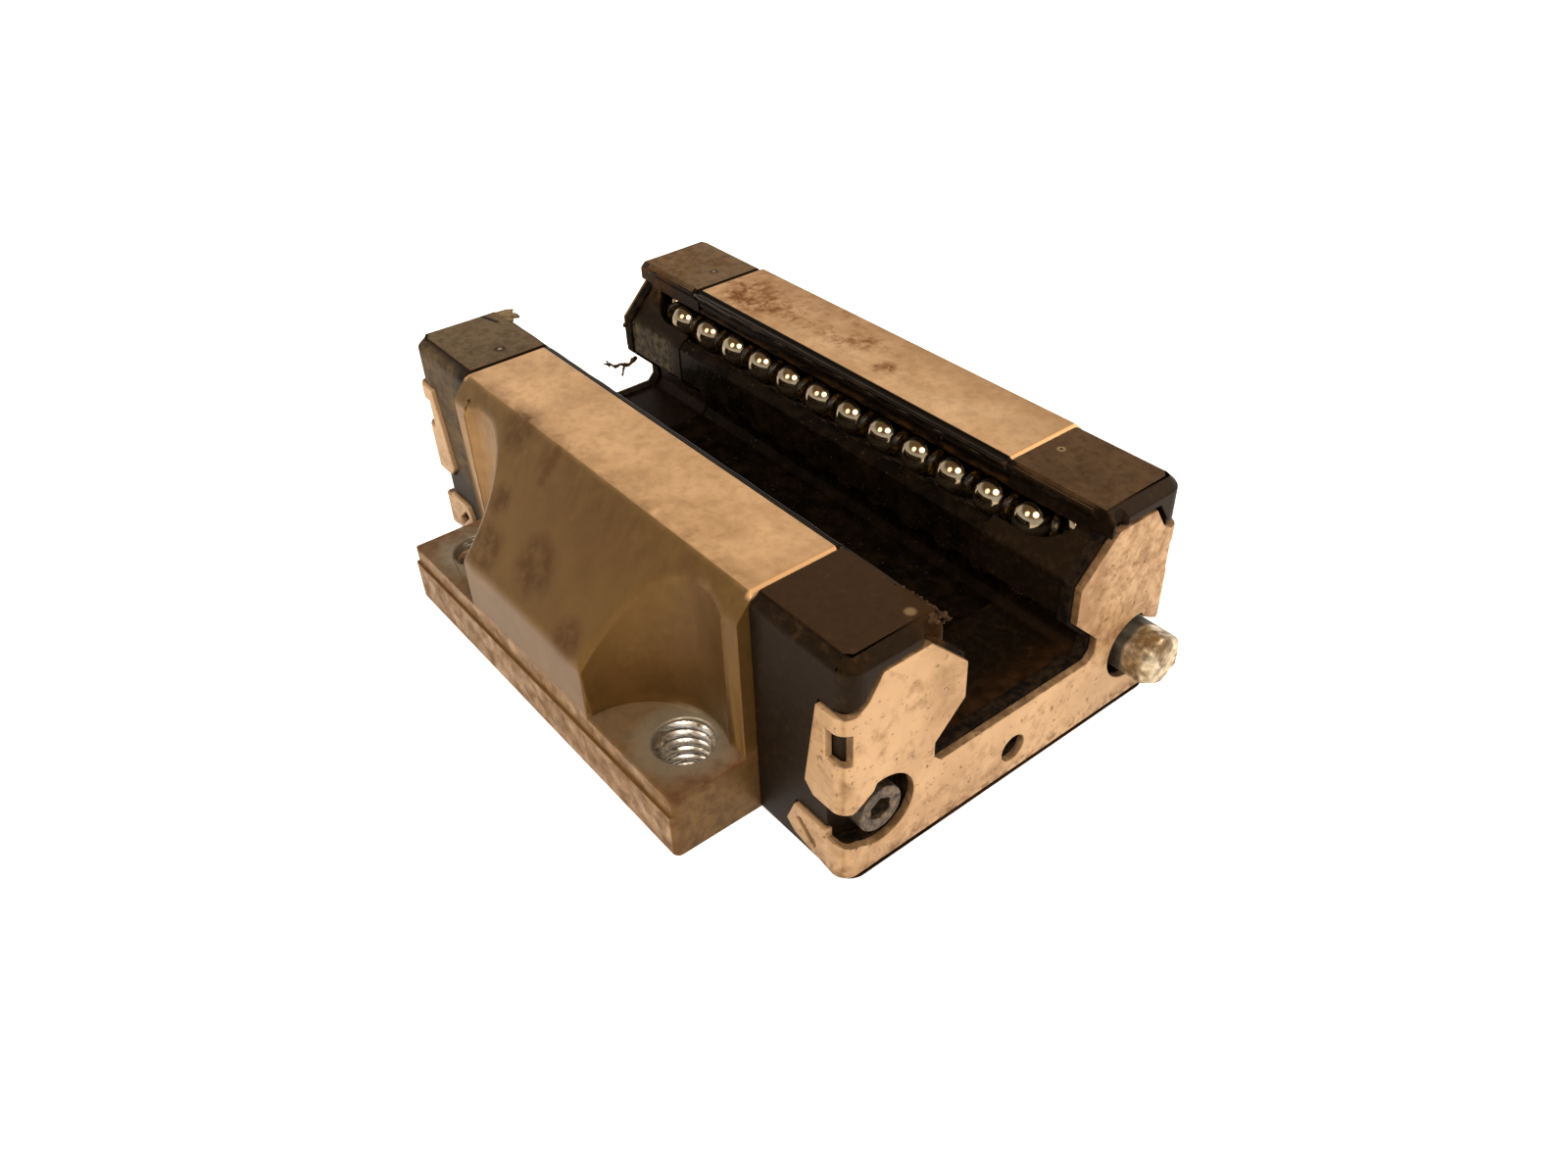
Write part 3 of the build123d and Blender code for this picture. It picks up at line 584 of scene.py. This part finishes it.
def turned(shape, outline, place, sides):
    """Add a closed turned form to a bmesh from (radius, height) points, turned about the place's Z."""
    rings = []
    for radius, height in outline:
        if radius == 0:
            rings.append([shape.verts.new(place @ Vector((0, 0, height)))])
            continue
        ring = []
        for step in range(sides):
            angle = 2 * pi * step / sides
            ring.append(shape.verts.new(place @ Vector((radius * cos(angle), radius * sin(angle), height))))
        rings.append(ring)
    for low, high in zip(rings, rings[1:]):
        for step in range(sides):
            after = (step + 1) % sides
            if len(low) == 1:
                shape.faces.new((low[0], high[after], high[step]))
            elif len(high) == 1:
                shape.faces.new((low[step], low[after], high[0]))
            else:
                shape.faces.new((low[step], low[after], high[after], high[step]))


def closed(shape, rings):
    """Join rings of corners into a tube with closed ends."""
    shape.faces.new(rings[0])
    for below, above in zip(rings, rings[1:]):
        for corner in range(len(below)):
            after = (corner + 1) % len(below)
            shape.faces.new((below[corner], below[after], above[after], above[corner]))
    shape.faces.new(rings[-1])
    bmesh.ops.recalc_face_normals(shape, faces=shape.faces)


def ball_row(node):
    """True round balls at the centres of the node's faceted ones."""
    shape = bmesh.new()
    for centre, _ in islands(node):
        place = Matrix.Translation(centre)
        bmesh.ops.create_icosphere(shape, subdivisions=4, radius=BALL_RADIUS, matrix=place)
    return stand_in(f"{node}_polished", shape, ball_steel, "ball_steel", node)


def spacer_row(node):
    """Dished discs between the balls, thinnest in the middle."""
    outline = [
        (0, -0.3), (1.0, -0.34), (1.6, -0.4), (1.72, -0.3), (1.75, 0),
        (1.72, 0.3), (1.6, 0.4), (1.0, 0.34), (0, 0.3),
    ]
    outline = [(radius * MM, height * MM) for radius, height in outline]
    shape = bmesh.new()
    for centre, axis in islands(node):
        place = Matrix.Translation(centre) @ axis.to_track_quat("Z", "Y").to_matrix().to_4x4()
        turned(shape, outline, place, 20)
    return stand_in(f"{node}_discs", shape, oily_spacer, "spacer_plastic", node)


for side in ("left", "right"):
    for row in ("tip", "deck"):
        ball_row(f"balls_{row}_{side}")
        spacer_row(f"spacers_{row}_{side}")


# Threads of the tapped holes

THREAD_PITCH = 1.25 * MM
THREAD_HEIGHT = 0.55 * MM
THREAD_BOTTOM, THREAD_TOP = 0.7 * MM, FLANGE_TOP - 0.75 * MM
THREAD_STEPS = 40

# Section of the ridge, as (share of its height, share of its pitch)
THREAD_SECTION = ((0, -0.36), (1, -0.06), (1, 0.06), (0, 0.36))

# How far the ridge's foot lies inside the wall of the hole
THREAD_OVERLAP = 0.01 * MM


def thread(name, x, y):
    """Ridge that winds up a tapped hole from below its countersink."""
    shape = bmesh.new()
    steps = int((THREAD_TOP - THREAD_BOTTOM) / THREAD_PITCH * THREAD_STEPS)
    previous = None
    for step in range(steps + 1):
        angle = 2 * pi * step / THREAD_STEPS
        middle = THREAD_BOTTOM + THREAD_PITCH * step / THREAD_STEPS
        taper = min(1.0, step / 6, (steps - step) / 6)
        points = []
        for inward, rise in THREAD_SECTION:
            radius = TAP_RADIUS - THREAD_HEIGHT * inward * taper + THREAD_OVERLAP
            points.append(shape.verts.new((
                x + radius * cos(angle), y + radius * sin(angle), middle + rise * THREAD_PITCH
            )))
        if previous:
            for i in range(3):
                shape.faces.new((previous[i], previous[i + 1], points[i + 1], points[i]))
        previous = points
    return stand_in(name, shape, thread_steel, "block_steel")


for end, along in (("front", 1), ("rear", -1)):
    for side, across in (("left", -1), ("right", 1)):
        thread(f"tap_thread_{end}_{side}", along * TAP_SPACING[0] / 2, across * TAP_SPACING[1] / 2)


# Lips beside the leg tips, dirt and wear

# Ends along the rail of a leg's lip and of a cap's rim, and where each one's back and top lie, in mm
LEG_LIP_END = 28.9
CAP_RIM_START, CAP_RIM_END = 28.95, 41.2
LEG_LIP_BACK, LEG_LIP_TOP = 12.4, 28.95
CAP_RIM_BACK, CAP_RIM_TOP = 13.6, 29.19


def lip_section(back, top):
    """Outline of a side lip as (y, z) in mm: a web from the leg, with a round bead along its inner edge."""
    angles = [radians(angle) for angle in range(60, 241, 20)]
    bead = [(11.6 + 0.3 * cos(angle), 28.55 + 0.3 * sin(angle)) for angle in angles]
    return [(back, top), (12.0, top - 0.03), *bead, (11.85, 27.9), (12.1, 27.2), (back, 27.2)]


def side_lip(name, side, start, end, back, top, material):
    """Strip that fills the mouth of the channel beside a leg tip, a little uneven along its length."""
    shape = bmesh.new()
    steps = max(2, int((end - start) / 0.8))
    rings = []
    for step in range(steps + 1):
        x = start + (end - start) * step / steps
        wave = 0.05 * sin(0.9 * x) * sin(0.23 * x + side)
        rings.append([
            shape.verts.new((x * MM, side * (y + (wave if y < 11.9 else 0)) * MM, z * MM))
            for y, z in lip_section(back, top)
        ])
    closed(shape, rings)
    weigh_normals(stand_in(name, shape, material, "black_plastic"))


for side, across in (("left", -1), ("right", 1)):
    side_lip(
        f"side_lip_{side}", across, -LEG_LIP_END, LEG_LIP_END, LEG_LIP_BACK, LEG_LIP_TOP, rubbed_nylon
    )
    side_lip(
        f"cap_rim_front_{side}", across, CAP_RIM_START, CAP_RIM_END, CAP_RIM_BACK, CAP_RIM_TOP, black_nylon
    )
    side_lip(
        f"cap_rim_rear_{side}", across, -CAP_RIM_END, -CAP_RIM_START, CAP_RIM_BACK, CAP_RIM_TOP, black_nylon
    )


def lumps(name, material, slot, spots):
    """Rough crumbs of dirt from (x, y, z, size) in mm, each with its own uneven shape."""
    shape = bmesh.new()
    for x, y, z, size in spots:
        made = bmesh.ops.create_icosphere(shape, subdivisions=2, radius=size * MM / 2)["verts"]
        squeeze = [random.uniform(0.6, 1.3) for _ in range(3)]
        for vert in made:
            grow = random.uniform(0.8, 1.2)
            vert.co = Vector((
                x * MM + vert.co.x * squeeze[0] * grow,
                y * MM + vert.co.y * squeeze[1] * grow,
                min(z * MM + vert.co.z * squeeze[2] * grow, CAP_TOP),
            ))
    return stand_in(name, shape, material, slot)


# Crumbs where the inner rim of the front left cap is broken away, and on the seal below it
broken_rim = []
for _ in range(150):
    along = 36.6 + 6.2 * random.uniform(0, 1) ** 0.6
    inward = random.uniform(0, 1)
    broken_rim.append((
        along, -11.5 - 1.7 * inward, random.uniform(28.6, 29.0), random.uniform(0.2, 0.6),
    ))
for _ in range(40):
    broken_rim.append((
        random.uniform(40.8, 41.9), random.uniform(-12.6, -9.6), 26.95, random.uniform(0.15, 0.5),
    ))
lumps("broken_rim_crumbs", brown_crumbs, "black_plastic", broken_rim)

# Fibrous strand of dirt that sticks out of the rear of the channel, from its right wall
strand = []
for step in range(46):
    share = step / 45
    strand.append((
        -42.2 + 0.25 * sin(9 * share), 8.9 - 5.4 * share,
        14.75 - 0.6 * sin(3.1 * share) + 1.2 * share * share + 0.15 * sin(17 * share),
        0.62 - 0.3 * share + 0.12 * sin(23 * share),
    ))
for step in range(12):
    share = step / 11
    strand.append((-42.3, 6.9 - 0.5 * share, 14.3 - 1.5 * share, 0.5 - 0.2 * share))
for step in range(8):
    share = step / 7
    strand.append((-42.2, 4.3 - 0.3 * share, 15.1 + 0.9 * share, 0.35 - 0.12 * share))
lumps("dirt_strand", brown_crumbs, "black_plastic", strand)
lumps("dirt_crumb_rear", brown_crumbs, "black_plastic", [
    (-41.9, 7.75, 20.8, 0.7), (-42.1, 7.6, 20.5, 0.45), (-41.8, 7.8, 21.2, 0.4),
])


def flake(name, material, slot, outline, low, high):
    """Thin torn flake with an outline of (x, y) points in mm, thinner towards its edge."""
    shape = bmesh.new()
    middle = [sum(point[axis] for point in outline) / len(outline) for axis in (0, 1)]
    rings = []
    for level, scale in ((low, 0.92), ((low + high) / 2, 1.0), (high, 0.85)):
        rings.append([
            shape.verts.new(Vector((
                middle[0] + (x - middle[0]) * scale, middle[1] + (y - middle[1]) * scale,
                level + random.uniform(-0.05, 0.0),
            )) * MM) for x, y in outline
        ])
    closed(shape, rings)
    bmesh.ops.triangulate(shape, faces=[face for face in shape.faces if len(face.verts) > 4])
    weigh_normals(stand_in(name, shape, material, slot))


flake("torn_rim_rear", torn_nylon, "black_plastic", [
    (-41.3, -13.9), (-41.9, -12.0), (-41.8, -10.4), (-41.2, -9.6), (-40.3, -10.3), (-39.4, -9.9),
    (-38.5, -10.1), (-38.9, -10.9), (-38.0, -11.3), (-39.0, -12.2), (-38.8, -13.0), (-40.2, -13.3),
], 28.85, 29.19)


def sliver(name, material, slot, outline, thickness):
    """Thin uneven flake from (x, y, z) points in mm down its middle, each with a half width."""
    shape = bmesh.new()
    rings = []
    for x, y, z, half in outline:
        rings.append([shape.verts.new(Vector(corner) * MM) for corner in (
            (x - half * 0.5, y - half, z), (x + half * 0.5, y + half, z + 0.12 * half),
            (x + half * 0.5, y + half, z + thickness), (x - half * 0.5, y - half, z + thickness),
        )])
    closed(shape, rings)
    stand_in(name, shape, material, slot)


sliver("chip_in_channel", pale_chip, "black_plastic", [
    (-4.3, 8.6, 9.5, 0.1), (-3.9, 9.0, 9.6, 0.35), (-3.4, 9.3, 9.75, 0.45), (-2.9, 9.6, 9.7, 0.2),
], 0.15)


# Floor, light and camera

TABLE_HALF, TABLE_LEVEL = 3.0, -0.05 * MM
LAMP_AIM = Vector((0, 0, 0.015))


def seen_rays(tree):
    """The Light Path node, and a socket that is 1 for rays from the camera or from a mirroring surface."""
    path = add(tree, "LightPath", {})
    rays = {0: path.outputs["Is Camera Ray"], 1: path.outputs["Is Glossy Ray"]}
    return path, add(tree, "Math", rays, operation="MAXIMUM").outputs[0]


def floor():
    """Wide white table top that keeps a faint shadow."""
    mesh = bpy.data.meshes.new("table_top")
    corners = [(x * TABLE_HALF, y * TABLE_HALF, TABLE_LEVEL) for x, y in ((-1, -1), (1, -1), (1, 1), (-1, 1))]
    mesh.from_pydata(corners, [], [(0, 1, 2, 3)])
    material = bpy.data.materials.new("white_paper")
    material.use_nodes = True
    tree = material.node_tree
    tree.nodes.clear()
    _, seen = seen_rays(tree)
    paper = add(tree, "BsdfDiffuse", {"Color": colour("#fbf6ef")})
    glow = add(tree, "Emission", {"Color": colour("#ffffff"), "Strength": 0.7})
    lit = add(tree, "AddShader", {0: paper.outputs[0], 1: glow.outputs[0]})
    mixed = add(tree, "MixShader", {0: seen, 1: paper.outputs[0], 2: lit.outputs[0]})
    add(tree, "OutputMaterial", {"Surface": mixed.outputs[0]})
    mesh.materials.append(material)
    table = bpy.data.objects.new("table_top", mesh)
    bpy.context.scene.collection.objects.link(table)


def world():
    """White surroundings that are dim overhead where they are mirrored, and soft warm light."""
    sky = bpy.data.worlds.new("white_room")
    sky.use_nodes = True
    tree = sky.node_tree
    tree.nodes.clear()
    path, seen = seen_rays(tree)
    seen = add(tree, "Math", {0: seen, 1: path.outputs["Is Transmission Ray"]}, operation="MAXIMUM")
    toward = add(tree, "SeparateXYZ", {"Vector": add(tree, "TexCoord", {}).outputs["Generated"]})
    overhead = add(tree, "MapRange", {
        "Value": toward.outputs["Z"], "From Min": sin(radians(22)), "From Max": sin(radians(36)),
    })
    mirrored = add(tree, "Math", {
        0: overhead.outputs[0], 1: path.outputs["Is Camera Ray"],
    }, operation="SUBTRACT", use_clamp=True)
    shade = add(tree, "Mix", {
        MIX_FACTOR: mirrored.outputs[0], MIX_UNDER: colour("#ffffff"), MIX_OVER: colour("#927d62"),
    }, data_type="RGBA")
    white = add(tree, "Background", {"Color": shade.outputs[MIX_RESULT], "Strength": 1.0})
    soft = add(tree, "Background", {"Color": colour("#fff2e2"), "Strength": 0.4})
    mixed = add(tree, "MixShader", {0: seen.outputs[0], 1: soft.outputs[0], 2: white.outputs[0]})
    add(tree, "OutputWorld", {"Surface": mixed.outputs[0]})
    bpy.context.scene.world = sky


def lamp(name, place, size, power, tint):
    """Round lamp that points at the carriage."""
    light = bpy.data.lights.new(name, "AREA")
    light.shape = "DISK"
    light.size = size
    light.energy = power
    light.color = colour(tint)[:3]
    body = bpy.data.objects.new(name, light)
    body.location = place
    body.rotation_euler = (LAMP_AIM - Vector(place)).to_track_quat("-Z", "Y").to_euler()
    bpy.context.scene.collection.objects.link(body)


def camera():
    """Camera where the photograph was taken from."""
    right = Vector((0.62637, 0.77892, -0.03079))
    down = Vector((0.46507, -0.40511, -0.78714))
    ahead = Vector((-0.62559, 0.47872, -0.61600))
    lens = bpy.data.cameras.new("view")
    lens.lens = 28.63
    lens.sensor_width = 36
    lens.clip_start = 0.01
    body = bpy.data.objects.new("view", lens)
    turn = Matrix((right, -down, -ahead)).transposed().to_4x4()
    body.matrix_world = Matrix.Translation(Vector((103.76, -76.66, 101.55)) * MM) @ turn
    bpy.context.scene.collection.objects.link(body)
    bpy.context.scene.camera = body


floor()
world()
lamp("lamp_over_camera", (0.29, -0.16, 0.42), 0.27, 1.75, "#fff3e6")
lamp("lamp_right", (0.28, 0.42, 0.31), 0.22, 1.5, "#fff0e0")
lamp("lamp_left", (-0.06, -0.36, 0.40), 0.23, 0.8, "#fff0e0")
camera()
bpy.context.scene.view_settings.view_transform = "Standard"
